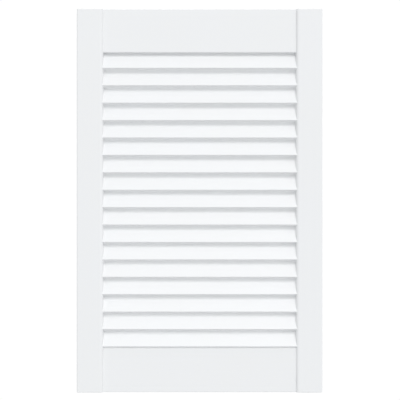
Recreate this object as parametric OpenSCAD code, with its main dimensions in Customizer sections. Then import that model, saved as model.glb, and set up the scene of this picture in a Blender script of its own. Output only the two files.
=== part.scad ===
// Louvred cabinet door: two stiles and two rails, dowelled together round a bank of fixed sloping slats.
// The front faces -Y and the height runs along +Z. The origin is on the ground, under the middle of the leaf.

/* [Leaf] */
// Width of the leaf over both stiles
door_w = 394; // [300:1:600]
// Height of the leaf
door_h = 615; // [400:1:1200]

/* [Stiles] */
// Width of a stile across its face
stile_w = 42; // [32:0.5:70]
// Thickness of a stile from front to back
stile_t = 21; // [20:0.5:30]
// Radius of the softened arrises along a stile's outer edge
stile_outer_round = 2; // [0.5:0.25:4]
// Radius of the eased arrises round a stile's two ends
stile_end_round = 1; // [0.25:0.25:2]

/* [Rails] */
// Height of the top rail across its face
top_rail_h = 69.5; // [45:0.5:120]
// Height of the bottom rail across its face
bottom_rail_h = 71; // [45:0.5:160]
// How far a rail's face lies behind the stile's, which is also the rounding of the stile's inner arrises
rail_setback = 4.5; // [2:0.25:5.5]
// Radius of the softened arrises along a rail
rail_round = 1; // [0.5:0.25:2]

/* [Slats] */
// Width of a slat across the grain
slat_w = 31; // [24:0.5:34]
// Thickness of a slat
slat_t = 5.5; // [4:0.25:7]
// Lean of a slat from upright, with its top edge towards the back
slat_lean = 28; // [20:0.5:32]
// Spacing from slat to slat that the opening is shared out by, as nearly as whole slats allow
slat_spacing = 28; // [22:0.5:45]
// Radius of the softened arrises along a slat
slat_round = 0.5; // [0.25:0.05:1.5]
// Clearance between the lowest slat and the bottom rail
slat_rail_clearance = 0.4; // [0.2:0.1:2]
// Air gap between the highest slat and the bevel behind the top rail's lower edge
slat_air_gap = 3; // [0.5:0.5:4]

/* [Slat housings] */
// Depth of the sloping housings in the stiles' inner edges
housing_depth = 8; // [5:0.5:12]
// Clearance all round a slat in its housing
housing_clearance = 0.1; // [0.05:0.05:0.3]
// Play left beyond each end of a slat
slat_end_play = 0.5; // [0.2:0.1:1.5]

/* [Dowels] */
// Diameter of a dowel
dowel_d = 6; // [5:0.5:8]
// Length of a dowel, half of it in each piece
dowel_len = 30; // [20:1:44]
// Chamfer on a dowel's ends
dowel_chamfer = 0.8; // [0.4:0.1:1.5]
// Distance from a rail's long edges to its dowels
dowel_edge = 17; // [10:0.5:20]
// Glue clearance round a dowel
dowel_clearance = 0.1; // [0.05:0.05:0.2]
// Depth of the glue pocket beyond each end of a dowel
dowel_pocket = 1; // [0.5:0.5:3]
// Number of glue flutes round a dowel
flute_count = 12; // [6:1:16]
// Radius of a glue flute
flute_r = 0.3; // [0.2:0.05:0.5]

/* [Hidden] */
PAINT = [0.94, 0.945, 0.95];
BEECH = [0.80, 0.66, 0.47];
// Fineness of the arcs and bores
$fn = 48;
// How far a cut runs past the faces that it opens
overrun = 1;

opening_w = door_w - 2 * stile_w;
opening_h = door_h - top_rail_h - bottom_rail_h;
rail_t = stile_t - 2 * rail_setback;

slat_count = round(opening_h / slat_spacing);
slat_pitch = opening_h / slat_count;
slat_len = opening_w + 2 * (housing_depth - slat_end_play);
// Height of a leaning slat from its lowest arris to its highest
slat_rise = (slat_w - 2 * slat_round) * cos(slat_lean) + (slat_t - 2 * slat_round) * sin(slat_lean) + 2 * slat_round;
bottom_slat_z = bottom_rail_h + slat_rail_clearance + slat_rise / 2;

bore_r = dowel_d / 2 + dowel_clearance;
bore_len = dowel_len + 2 * dowel_pocket;

SIDES = ["left", "right"];
RAILS = ["top", "bottom"];
PLACES = ["upper", "lower"];

// The slats are numbered from the top.
function slat_name(i) = str("slat_", i < 10 ? "0" : "", i);
function slat_z(i) = bottom_slat_z + (slat_count - i) * slat_pitch;

function dowel_name(rail, place, side) = str(rail, "_", side, "_dowel_", place);
function rail_foot(rail) = rail == "top" ? door_h - top_rail_h : 0;
function rail_head(rail) = rail == "top" ? door_h : bottom_rail_h;
function dowel_z(rail, place) = place == "upper" ? rail_head(rail) - dowel_edge : rail_foot(rail) + dowel_edge;
function joint_x(side) = side == "left" ? -opening_w / 2 : opening_w / 2;

// What a rounding plane takes off a corner at the origin
module corner_waste(r) {
    difference() {
        translate([-overrun, -overrun]) square(r + overrun);
        translate([r, r]) circle(r = r);
    }
}

// A board's cross section from the origin, with one radius for each corner, anticlockwise
module board_section(size, radii) {
    difference() {
        square(size);
        corner_waste(radii[0]);
        translate([size[0], 0]) mirror([1, 0]) corner_waste(radii[1]);
        translate(size) rotate(180) corner_waste(radii[2]);
        translate([0, size[1]]) mirror([0, 1]) corner_waste(radii[3]);
    }
}

// Carries a section drawn as thickness by height along X, centred on the leaf
module run_across(length) {
    translate([-length / 2, 0, 0]) rotate([90, 0, 90]) linear_extrude(length) children();
}

// A slat's section, grown by a clearance, leaning about its own middle
module slat_section(grow) {
    r = slat_round + grow;
    size = [slat_t + 2 * grow, slat_w + 2 * grow];
    rotate(-slat_lean) translate(-size / 2) board_section(size, [r, r, r, r]);
}

// The sloping housings are one slat section each, routed into a stile and stopped at both faces.
module slat_housings() {
    for (i = [1 : slat_count])
        translate([0, 0, slat_z(i)])
            run_across(opening_w + 2 * housing_depth) slat_section(housing_clearance);
}

// Both bores of each dowelled joint lie on one axis, so stile and rail are cut by the same drill.
module dowel_bores(rails, side) {
    for (rail = rails, place = PLACES)
        translate([joint_x(side), 0, dowel_z(rail, place)])
            rotate([0, 90, 0]) cylinder(r = bore_r, h = bore_len, center = true);
}

// A stile is moulded along its length, rounded on its inner arrises to meet the thinner rails. Its ends are then
// eased along the faces and down the outer edge, and stay square where the rails butt.
module stile_blank() {
    inner_round = rail_setback;
    moulded = [stile_outer_round, inner_round, inner_round, stile_outer_round];
    eased = [stile_end_round, stile_end_round, stile_end_round, stile_end_round];
    past_inner_edge = stile_end_round + overrun;
    intersection() {
        linear_extrude(door_h) board_section([stile_w, stile_t], moulded);
        translate([-overrun, 0, 0])
            rotate([90, 0, 90])
                linear_extrude(stile_w + 2 * overrun) board_section([stile_t, door_h], eased);
        translate([0, stile_t + overrun, 0])
            rotate([90, 0, 0])
                linear_extrude(stile_t + 2 * overrun) board_section([stile_w + past_inner_edge, door_h], eased);
    }
}

// The stile runs the leaf's full height, and the right one is the left one's mirror image.
module stile(side) {
    difference() {
        mirror([side == "left" ? 0 : 1, 0, 0])
            translate([-door_w / 2, -stile_t / 2, 0]) stile_blank();
        slat_housings();
        dowel_bores(RAILS, side);
    }
}

module left_stile() {
    color(PAINT) stile("left");
}

module right_stile() {
    color(PAINT) stile("right");
}

// A rail's section stands on the origin, centred on its thickness.
module rail_section(height) {
    r = rail_round;
    translate([-rail_t / 2, 0]) board_section([rail_t, height], [r, r, r, r]);
}

// The top rail's lower back arris is planed to the slats' slope, so the first slat tucks up behind it and air still
// passes between them.
module slat_bevel() {
    reach = 2 * (rail_t + slat_w);
    rotate(-slat_lean) translate([-slat_t / 2 - slat_air_gap, -reach / 2]) square(reach);
}

module top_rail() {
    foot = rail_foot("top");
    color(PAINT) difference() {
        run_across(opening_w) difference() {
            translate([0, foot]) rail_section(top_rail_h);
            translate([0, slat_z(1)]) slat_bevel();
        }
        for (side = SIDES) dowel_bores(["top"], side);
    }
}

module bottom_rail() {
    color(PAINT) difference() {
        run_across(opening_w) rail_section(bottom_rail_h);
        for (side = SIDES) dowel_bores(["bottom"], side);
    }
}

module slat(i) {
    color(PAINT) translate([0, 0, slat_z(i)]) run_across(slat_len) slat_section(0);
}

// A fluted dowel, chamfered at both ends, about its own middle along Z
module dowel() {
    r = dowel_d / 2;
    shank = dowel_len - 2 * dowel_chamfer;
    difference() {
        union() {
            cylinder(r = r, h = shank, center = true);
            for (end = [0, 1])
                mirror([0, 0, end]) translate([0, 0, shank / 2])
                    cylinder(r1 = r, r2 = r - dowel_chamfer, h = dowel_chamfer);
        }
        for (k = [0 : flute_count - 1])
            rotate(k * 360 / flute_count) translate([r, 0, 0])
                cylinder(r = flute_r, h = dowel_len + 2 * overrun, center = true);
    }
}

module placed_dowel(rail, place, side) {
    color(BEECH) translate([joint_x(side), 0, dowel_z(rail, place)]) rotate([0, 90, 0]) dowel();
}

left_stile();
right_stile();
top_rail();
bottom_rail();
for (i = [1 : slat_count])
    slat(i);
for (rail = RAILS, side = SIDES, place = PLACES)
    placed_dowel(rail, place, side);
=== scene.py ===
import math

import bpy
import numpy as np
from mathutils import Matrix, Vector


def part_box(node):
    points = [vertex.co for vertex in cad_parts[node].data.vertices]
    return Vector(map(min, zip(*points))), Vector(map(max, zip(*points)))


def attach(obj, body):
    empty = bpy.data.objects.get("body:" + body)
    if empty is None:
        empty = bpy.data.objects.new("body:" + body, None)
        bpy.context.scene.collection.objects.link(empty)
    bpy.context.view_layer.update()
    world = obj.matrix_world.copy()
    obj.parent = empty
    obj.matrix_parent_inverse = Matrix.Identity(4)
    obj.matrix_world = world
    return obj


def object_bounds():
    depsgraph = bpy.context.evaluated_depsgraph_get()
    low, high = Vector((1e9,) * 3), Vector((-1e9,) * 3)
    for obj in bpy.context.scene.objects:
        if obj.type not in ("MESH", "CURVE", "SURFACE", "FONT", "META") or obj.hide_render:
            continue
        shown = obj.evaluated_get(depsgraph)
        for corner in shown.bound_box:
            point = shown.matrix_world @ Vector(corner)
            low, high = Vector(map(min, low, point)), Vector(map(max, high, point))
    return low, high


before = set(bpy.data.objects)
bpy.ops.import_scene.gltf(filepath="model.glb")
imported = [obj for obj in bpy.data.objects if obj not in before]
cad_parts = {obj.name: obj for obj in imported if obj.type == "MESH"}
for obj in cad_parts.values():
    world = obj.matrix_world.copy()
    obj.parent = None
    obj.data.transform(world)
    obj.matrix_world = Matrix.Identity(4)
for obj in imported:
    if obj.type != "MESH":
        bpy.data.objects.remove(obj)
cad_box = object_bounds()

# The camera
# It looks level and square on at the front, so that the stiles stand upright in the picture, and a trace of lens shift
# sets the leaf as far left as it is in the photo. Places in the picture are in its own 400 by 400 pixels.
FRONT = cad_box[0].y
LEAF_HEIGHT = cad_box[1].z - cad_box[0].z
PICTURE_SIDE = 400
PICTURE_LEAF_TOP = 8.75
PICTURE_LEAF_BOTTOM = 392.65
PICTURE_LEAF_MIDDLE = 199.63
CAMERA_DISTANCE = 1.8
SENSOR_MM = 36

metres_per_pixel = LEAF_HEIGHT / (PICTURE_LEAF_BOTTOM - PICTURE_LEAF_TOP)
view_side = PICTURE_SIDE * metres_per_pixel
half_way = (PICTURE_LEAF_TOP + PICTURE_LEAF_BOTTOM) / 2
view_middle_z = cad_box[0].z + LEAF_HEIGHT / 2 + (half_way - PICTURE_SIDE / 2) * metres_per_pixel
view_middle_x = (PICTURE_SIDE / 2 - PICTURE_LEAF_MIDDLE) * metres_per_pixel

camera_data = bpy.data.cameras.new("camera")
camera_data.sensor_width = SENSOR_MM
camera_data.lens = SENSOR_MM * CAMERA_DISTANCE / view_side
camera_data.shift_x = view_middle_x / view_side
camera = bpy.data.objects.new("camera", camera_data)
camera.location = (0, FRONT - CAMERA_DISTANCE, view_middle_z)
camera.rotation_euler = (math.pi / 2, 0, 0)
bpy.context.scene.collection.objects.link(camera)
bpy.context.scene.camera = camera

# The studio
# A white floor runs into a backdrop of the same white, and takes no part in lighting the leaf. Soft light comes from
# all round, more of it from some sides, and one broad soft lamp stands high in front, a little to the right.
FLOOR_HUB = 0.001
FLOOR_RADIUS = 6
FLOOR_RINGS = 8
FLOOR_SPOKES = 64
SEAM_ANGLE = math.radians(40)
WHITE = (1, 1, 1, 1)
BLACK = (0, 0, 0, 1)
STUDIO_WHITE = 1.02
SKY_COLOUR = (0.966, 0.985, 1.0, 1)
SKY_SIDES = 0.507
SKY_RIGHT = 0.185
SKY_FRONT = 0.225
SKY_BACK = 0.704
SKY_ABOVE = 0.2
KEY_STRENGTH = 1.03
KEY_SOFTNESS = math.radians(30)
KEY_HEIGHT = math.radians(35.5)
KEY_SIDE = math.radians(11)


class Wire:
    """A socket in a shader, so that sums on shader values can be written as Python expressions."""

    def __init__(self, tree, socket=None):
        self.tree = tree
        self.socket = socket

    def node(self, kind, settings, sockets, output=0):
        """A new node in this shader: its settings come first, then a value or a Wire for each socket named."""
        made = self.tree.nodes.new("ShaderNode" + kind)
        for name, value in settings.items():
            setattr(made, name, value)
        for name, value in sockets.items():
            if isinstance(value, Wire):
                self.tree.links.new(value.socket, made.inputs[name])
            else:
                made.inputs[name].default_value = value
        return Wire(self.tree, made.outputs[output])

    def math(self, operation, first, second=0.0):
        return self.node("Math", {"operation": operation}, {0: first, 1: second})

    def parts(self):
        """The three numbers of a vector, a Wire for each."""
        return [self.node("SeparateXYZ", {}, {0: self}, name) for name in "XYZ"]

    def __add__(self, other):
        return self.math("ADD", self, other)

    def __sub__(self, other):
        return self.math("SUBTRACT", self, other)

    def __rsub__(self, other):
        return self.math("SUBTRACT", other, self)

    def __mul__(self, other):
        return self.math("MULTIPLY", self, other)

    __radd__ = __add__
    __rmul__ = __mul__


def surface(name, points, closed_rows=False, closed_columns=False, capped=False):
    """A mesh object from grids of points, shape (grids, rows, columns, 3), with a quad between each four neighbours.

    A closed grid joins its last row or column to its first, and a capped one gets a face over its first and last
    columns."""
    grids, rows, columns = points.shape[:3]
    index = np.arange(grids * rows * columns).reshape(grids, rows, columns)
    if closed_rows:
        index = np.concatenate([index, index[:, :1]], axis=1)
    if closed_columns:
        index = np.concatenate([index, index[:, :, :1]], axis=2)
    corners = [index[:, :-1, :-1], index[:, 1:, :-1], index[:, 1:, 1:], index[:, :-1, 1:]]
    faces = np.stack([corner.ravel() for corner in corners], axis=1).tolist()
    if capped:
        faces += index[:, :rows, 0][:, ::-1].tolist() + index[:, :rows, -1].tolist()
    mesh = bpy.data.meshes.new(name)
    mesh.from_pydata(points.reshape(-1, 3), [], faces)
    mesh.polygons.foreach_set("use_smooth", np.ones(len(faces), bool))
    mesh.set_sharp_from_angle(angle=SEAM_ANGLE)
    made = bpy.data.objects.new(name, mesh)
    bpy.context.scene.collection.objects.link(made)
    return made


def floor_points():
    """Rings about the origin at height 0: the radius grows with the row, and the angle turns with the column."""
    radius = np.linspace(FLOOR_HUB, FLOOR_RADIUS, FLOOR_RINGS)[:, None]
    angle = np.linspace(0, 2 * np.pi, FLOOR_SPOKES, endpoint=False)[None, :]
    level = np.zeros((FLOOR_RINGS, FLOOR_SPOKES))
    return np.stack([radius * np.cos(angle), radius * np.sin(angle), level], axis=2)[None]


floor = surface("studio_floor", floor_points(), closed_columns=True)
floor_paint = bpy.data.materials.new("studio_floor")
floor_paint.use_nodes = True
floor_shader = floor_paint.node_tree.nodes["Principled BSDF"]
floor_shader.inputs["Base Color"].default_value = BLACK
floor_shader.inputs["Specular IOR Level"].default_value = 0
floor_shader.inputs["Emission Color"].default_value = WHITE
floor_shader.inputs["Emission Strength"].default_value = STUDIO_WHITE
floor.data.materials.append(floor_paint)
floor.visible_diffuse = False
floor.visible_glossy = False
floor.visible_shadow = False

# The sky's strength is the same on every side, and more in the named directions, in step with the cosine of the angle
# from each. The camera itself sees plain white there.
world = bpy.data.worlds.new("studio")
world.use_nodes = True
bpy.context.scene.world = world
sky = Wire(world.node_tree)
toward_x, toward_y, toward_z = sky.node("TexCoord", {}, {}, "Generated").parts()
right = sky.math("MAXIMUM", toward_x, 0.0)
ahead = sky.math("MAXIMUM", 0 - toward_y, 0.0)
behind = sky.math("MAXIMUM", toward_y, 0.0)
above = sky.math("MAXIMUM", toward_z, 0.0)
sky_strength = SKY_SIDES + SKY_RIGHT * right + SKY_FRONT * ahead + SKY_BACK * behind + SKY_ABOVE * above
sky_light = sky.node("Background", {}, {"Color": SKY_COLOUR, "Strength": sky_strength})
sky_seen = sky.node("Background", {}, {"Color": WHITE, "Strength": STUDIO_WHITE})
seen = sky.node("LightPath", {}, {}, "Is Camera Ray")
mixed = sky.node("MixShader", {}, {0: seen, 1: sky_light, 2: sky_seen})
world.node_tree.links.new(mixed.socket, world.node_tree.nodes["World Output"].inputs["Surface"])

key_lamp = bpy.data.lights.new("key", "SUN")
key_lamp.energy = KEY_STRENGTH
key_lamp.angle = KEY_SOFTNESS
key = bpy.data.objects.new("key", key_lamp)
toward_key = Vector((math.sin(KEY_SIDE) * math.cos(KEY_HEIGHT), -math.cos(KEY_SIDE) * math.cos(KEY_HEIGHT),
                     math.sin(KEY_HEIGHT)))
key.rotation_euler = toward_key.to_track_quat("Z", "Y").to_euler()
bpy.context.scene.collection.objects.link(key)

# Tones go into the picture as they are, without a film's look.
bpy.context.scene.view_settings.view_transform = "Standard"

# The stiles
# The two uprights are planed softwood, moulded along their length and sprayed with satin white. The growth rings stand
# a little proud under the paint and run up the board, and the sawn ends drink more paint and stay rougher.
PAINT_WHITE = (0.872, 0.878, 0.890, 1)
PAINT_CREAM = (0.868, 0.868, 0.864, 1)
CREAM_FROM_PATCHES = 0.8
CREAM_FROM_RINGS = 0.2
PAINT_ROUGHNESS = 0.40
PATCH_ROUGHNESS = 0.08
SPRAY_ROUGHNESS = 0.05
END_ROUGHNESS = 0.16
# How finely each pattern varies, in cells a metre: across the board, through it and along it
PATCH_SCALE = (9, 9, 9)
SPRAY_SCALE = (850, 850, 850)
FIBRE_SCALE = (1500, 1500, 40)
RING_WAVER_SCALE = (26, 26, 2.2)
PORE_SCALE = (2600, 2600, 60)
# Heights and distances in metres. A dust speck is whole out to DUST_TOP of the spacing and gone at DUST_FOOT. A face
# turns into the board's end from END_FROM to END_TO, where 1 looks straight along the board.
SPRAY_HEIGHT = 0.000018
DUST_HEIGHT = 0.00005
DUST_SPACING = 0.027
DUST_TOP = 0.02
DUST_FOOT = 0.05
RING_HEIGHT = 0.000018
RING_SPACING = 0.0026
RING_WAVER = 0.012
FIBRE_HEIGHT = 0.000010
END_HEIGHT = 0.00006
END_FROM = 0.75
END_TO = 0.95
# The most that a board's noise is moved along it, how far off its middle the pith may lie, and the least depth that it
# lies at, which can be up to twice as much
BOARD_SHIFT = 3.0
STILE_PITH = (0.05, 0.034)
LEFT_STILE_BOARD = 1
RIGHT_STILE_BOARD = 2


def noise(place, scale, detail):
    """Noise over this place, with this many cells a metre along each of its three axes."""
    spot = place.node("VectorMath", {"operation": "MULTIPLY"}, {0: place, 1: scale})
    return place.node("TexNoise", {"noise_dimensions": "3D"}, {"Vector": spot, "Scale": 1.0, "Detail": detail})


def eased(value, low, high, start=0.0, end=1.0):
    """Runs smoothly from start to end while the value goes from low to high, and stays level outside them."""
    sockets = {"Value": value, "From Min": low, "From Max": high, "To Min": start, "To Max": end}
    return value.node("MapRange", {"interpolation_type": "SMOOTHSTEP"}, sockets)


def between(share, first, second):
    """The first colour where the share is 0, and the second where it is 1. A Mix node has these sockets once for each
    kind of value, so they go by their numbers."""
    return share.node("Mix", {"data_type": "RGBA"}, {0: share, 6: first, 7: second}, 2)


def finish(material, colour, roughness, height):
    """Gives the material's own shader this colour, roughness and height, which is in metres and tilts the light."""
    normal = height.node("Bump", {}, {"Strength": 1.0, "Distance": 1.0, "Height": height}, "Normal")
    shader = material.node_tree.nodes["Principled BSDF"]
    for name, wire in (("Base Color", colour), ("Roughness", roughness), ("Normal", normal)):
        material.node_tree.links.new(wire.socket, shader.inputs[name])


def painted(name, axis, pith, board):
    """Satin paint over a softwood board that runs along this axis.

    Rings: the distance from the pith, wavering along the board, counts the rings, and the height follows a smooth wave
    of it. Fibres: noise drawn out along the board. Spray: fine even noise, with a few specks of dust as round bumps.
    Patches: broad noise that turns the white towards cream. Ends: the pores and rings stand out more where a face
    looks along the board. The board's number moves its pith and its noise, so that no two boards look alike."""
    material = bpy.data.materials.new(name)
    material.use_nodes = True
    wire = Wire(material.node_tree)
    x, y, z = wire.node("TexCoord", {}, {}, "Object").parts()
    across, deep, length = (y, z, x) if axis == "X" else (x, y, z)
    chances = wire.node("TexWhiteNoise", {"noise_dimensions": "1D"}, {"W": board}, "Color").parts()
    place = wire.node("CombineXYZ", {}, {0: across, 1: deep, 2: length + chances[2] * BOARD_SHIFT})

    waver = (noise(place, RING_WAVER_SCALE, detail=2.0) - 0.5) * RING_WAVER
    off_pith = wire.math("POWER", across - (chances[0] - 0.5) * (2 * pith[0]), 2.0)
    off_depth = wire.math("POWER", deep - pith[1] * (1.0 + chances[1]), 2.0)
    radius = wire.math("SQRT", off_pith + off_depth) + waver
    rings = wire.math("SINE", radius * (2 * math.pi / RING_SPACING)) * 0.5 + 0.5
    fibres = noise(place, FIBRE_SCALE, detail=1.0)
    spray = noise(place, SPRAY_SCALE, detail=2.0)
    patches = noise(place, PATCH_SCALE, detail=2.0)
    speck = wire.node("TexVoronoi", {"feature": "F1"}, {"Vector": place, "Scale": 1 / DUST_SPACING}, "Distance")
    dust = eased(speck, DUST_TOP, DUST_FOOT, start=1.0, end=0.0)
    facing_x, _, facing_z = wire.node("TexCoord", {}, {}, "Normal").parts()
    toward_end = facing_x if axis == "X" else facing_z
    end = eased(wire.math("ABSOLUTE", toward_end), END_FROM, END_TO)
    pores = noise(place, PORE_SCALE, detail=1.0)

    colour = between(patches * CREAM_FROM_PATCHES + rings * CREAM_FROM_RINGS, PAINT_WHITE, PAINT_CREAM)
    roughness = PAINT_ROUGHNESS + patches * PATCH_ROUGHNESS + spray * SPRAY_ROUGHNESS + end * END_ROUGHNESS
    face_height = rings * RING_HEIGHT + fibres * FIBRE_HEIGHT + spray * SPRAY_HEIGHT + dust * DUST_HEIGHT
    finish(material, colour, roughness, face_height + end * (pores + rings) * END_HEIGHT)
    return material


def dress(names, material):
    """Gives these CAD nodes this one finish."""
    for name in names:
        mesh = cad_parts[name].data
        mesh.materials.clear()
        mesh.materials.append(material)


dress(["left_stile"], painted("left_stile_paint", "Z", STILE_PITH, LEFT_STILE_BOARD))
dress(["right_stile"], painted("right_stile_paint", "Z", STILE_PITH, RIGHT_STILE_BOARD))

# The dowels
# Eight fluted pegs of steamed beech join the rails to the stiles, two to a joint, glued in and out of sight. They are
# bare wood: straight fine grain, with the short dark flecks that beech has.
BEECH_PALE = (0.74, 0.57, 0.38, 1)
BEECH_DARK = (0.56, 0.38, 0.22, 1)
DARK_FROM_BANDS = 0.6
DARK_FROM_FLECKS = 0.4
BEECH_ROUGHNESS = 0.55
FLECK_ROUGHNESS = 0.1
BAND_SCALE = (14, 420, 420)
FLECK_SCALE = (90, 1100, 1100)
FLECK_FROM = 0.62
FLECK_TO = 0.70
BEECH_HEIGHT = 0.00004
DOWELS = [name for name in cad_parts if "_dowel_" in name]


def beech():
    """Bare beech along X: soft bands of tone from drawn-out noise, and flecks where a finer one passes a level."""
    material = bpy.data.materials.new("bare_beech")
    material.use_nodes = True
    place = Wire(material.node_tree).node("TexCoord", {}, {}, "Object")
    bands = noise(place, BAND_SCALE, detail=3.0)
    flecks = eased(noise(place, FLECK_SCALE, detail=1.0), FLECK_FROM, FLECK_TO)
    colour = between(bands * DARK_FROM_BANDS + flecks * DARK_FROM_FLECKS, BEECH_PALE, BEECH_DARK)
    finish(material, colour, BEECH_ROUGHNESS + flecks * FLECK_ROUGHNESS, (bands - flecks) * BEECH_HEIGHT)
    return material


dress(DOWELS, beech())

# The rails
# The top and bottom rails are the same softwood, thinner than the stiles and butted between them on dowels, with their
# grain running across the leaf. They are sprayed together with the rest.
RAIL_PITH = (0.03, 0.03)
TOP_RAIL_BOARD = 3
BOTTOM_RAIL_BOARD = 4
dress(["top_rail"], painted("top_rail_paint", "X", RAIL_PITH, TOP_RAIL_BOARD))
dress(["bottom_rail"], painted("bottom_rail_paint", "X", RAIL_PITH, BOTTOM_RAIL_BOARD))

# The slats
# Seventeen thin softwood boards slope down to the front, with their ends in housings in the stiles. They are cut from
# different places in the tree and sprayed with the rest, so each has rings of its own under the same paint.
SLATS = sorted(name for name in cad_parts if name.startswith("slat_"))
SLAT_PITH = (0.05, 0.02)
FIRST_SLAT_BOARD = 5
for board, name in enumerate(SLATS, FIRST_SLAT_BOARD):
    dress([name], painted(name + "_paint", "X", SLAT_PITH, board))

# The paint in the corners
# Sprayed paint runs into every inside corner and dries there as a fine hollow bead. It closes the hairline where a
# slat enters its housing and where a rail butts against a stile, and it is the same satin white.
# Sizes of the leaf in metres, as its solids have them
SLAT_LEAN = math.radians(28)
SLAT_WIDTH = 0.031
SLAT_THICKNESS = 0.0055
SLAT_ROUND = 0.0005
SLAT_AIR_GAP = 0.003
RAIL_ROUND = 0.001
INNER_ROUND = 0.0045
INNER_EDGE = -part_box("left_stile")[1].x
HALF_FLAT = -FRONT - INNER_ROUND
# How wide the beads are, how deep they reach into the wood, and how finely they are drawn
SLAT_BEAD = 0.0007
RAIL_BEAD = 0.0006
RAIL_BEAD_THINNEST = 0.2
BEAD_STEPS = 6
BEAD_SUNK = 0.00005
BEAD_BOARD = 30
ARC_STEPS = 5
OUTLINE_STEP = 0.0015
END_MARGIN = 0.0016


def inner_edge_x(y):
    """How far a stile's inner edge stands from the leaf's middle at the depth y: flat over the middle of its
    thickness, then falling away along a quarter circle towards both faces."""
    past = np.clip(np.abs(y) - HALF_FLAT, 0, INNER_ROUND)
    return INNER_EDGE + INNER_ROUND - np.sqrt(INNER_ROUND ** 2 - past ** 2)


def outline(corners, radius):
    """Points (y, z) and outward directions round a closed section whose corners run anticlockwise.

    Each corner becomes an arc: its middle lies where both sides, moved in by the radius, cross, and its points lie the
    radius away from there, along directions that swing from one side's to the next. Even steps are then filled in."""
    corners = np.array(corners)
    side = np.roll(corners, -1, axis=0) - corners
    side /= np.linalg.norm(side, axis=1, keepdims=True)
    after = np.stack([side[:, 1], -side[:, 0]], axis=1)
    before = np.roll(after, 1, axis=0)
    middle = corners - radius * (before + after) / (1 + (before * after).sum(axis=1, keepdims=True))
    swing = np.linspace(0, 1, ARC_STEPS)[None, :, None]
    away = before[:, None] * (1 - swing) + after[:, None] * swing
    away /= np.linalg.norm(away, axis=2, keepdims=True)
    points = (middle[:, None] + radius * away).reshape(-1, 2)
    both = np.hstack([points, away.reshape(-1, 2)])
    both = np.vstack([both, both[:1]])
    run = np.append(0, np.cumsum(np.linalg.norm(np.diff(both[:, :2], axis=0), axis=1)))
    fine = np.union1d(run, np.arange(0, run[-1], OUTLINE_STEP))[:-1]
    filled = np.stack([np.interp(fine, run, column) for column in both.T], axis=1)
    return filled[:, :2], filled[:, 2:]


def bead_points(path, away, side, width):
    """A hollow bead between a stile and the piece that meets it along this path of points (y, z).

    For an angle from 0 to 90 degrees its face lies width (1 - sin) away from the piece and width (1 - cos) off the
    stile, so it starts flat on the stile and ends flat on the piece. Three more points close it inside the wood."""
    angle = np.linspace(0, np.pi / 2, BEAD_STEPS)[:, None]
    sunk = np.full_like(width, -BEAD_SUNK)
    out = np.vstack([(1 - np.sin(angle)) * width, sunk, sunk, width])
    off = np.vstack([(1 - np.cos(angle)) * width, width, sunk, sunk])
    y = path[:, 0] + away[:, 0] * out
    z = path[:, 1] + away[:, 1] * out
    points = np.stack([side * (inner_edge_x(y) - off), y, z], axis=2)
    return points if side > 0 else points[::-1]


def slat_corners(name):
    """The four corners of a slat's section: half its thickness and width each way, turned back by its lean."""
    low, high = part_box(name)
    half = np.array([[1, -1], [1, 1], [-1, 1], [-1, -1]]) * (SLAT_THICKNESS / 2, SLAT_WIDTH / 2)
    turn = np.array([[math.cos(SLAT_LEAN), -math.sin(SLAT_LEAN)], [math.sin(SLAT_LEAN), math.cos(SLAT_LEAN)]])
    return half @ turn + (0, (low.z + high.z) / 2)


def rail_corners(name, bevel):
    """A rail's section, starting at the leaf's end. The top one has its lower back arris planed to the first slat's
    slope: that plane stands half a slat's thickness and the air gap in front of the slat's middle."""
    low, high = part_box(name)
    if not bevel:
        return [[high.y, low.z], [high.y, high.z], [low.y, high.z], [low.y, low.z]]
    slat_low, slat_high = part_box(SLATS[0])
    middle = (slat_low.z + slat_high.z) / 2
    plane = SLAT_THICKNESS / 2 + SLAT_AIR_GAP
    foot_y = ((low.z - middle) * math.sin(SLAT_LEAN) - plane) / math.cos(SLAT_LEAN)
    back_z = middle + (high.y * math.cos(SLAT_LEAN) + plane) / math.sin(SLAT_LEAN)
    return [[low.y, high.z], [low.y, low.z], [foot_y, low.z], [high.y, back_z], [high.y, high.z]]


def paint_bead(name, grids, **ends):
    """Beads as one piece of dried paint on the leaf."""
    bead = surface(name, np.stack(grids), closed_rows=True, **ends)
    bead.data.materials.append(bead_paint)
    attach(bead, "root")


bead_paint = painted("bead_paint", "Z", STILE_PITH, BEAD_BOARD)
for word, side in (("left", -1), ("right", 1)):
    rings = []
    for name in SLATS:
        path, away = outline(slat_corners(name), SLAT_ROUND)
        rings.append(bead_points(path, away, side, np.full(len(path), SLAT_BEAD)))
    paint_bead(word + "_slat_end_beads", rings, closed_columns=True)
    for rail, bevel in (("top_rail", True), ("bottom_rail", False)):
        path, away = outline(rail_corners(rail, bevel), RAIL_ROUND)
        from_end = np.minimum(path[:, 1] - cad_box[0].z, cad_box[1].z - path[:, 1]) - END_MARGIN
        kept = from_end > 0
        width = RAIL_BEAD * np.clip(from_end[kept] / RAIL_BEAD, RAIL_BEAD_THINNEST, 1)
        paint_bead(word + "_" + rail + "_bead", [bead_points(path[kept], away[kept], side, width)], capped=True)
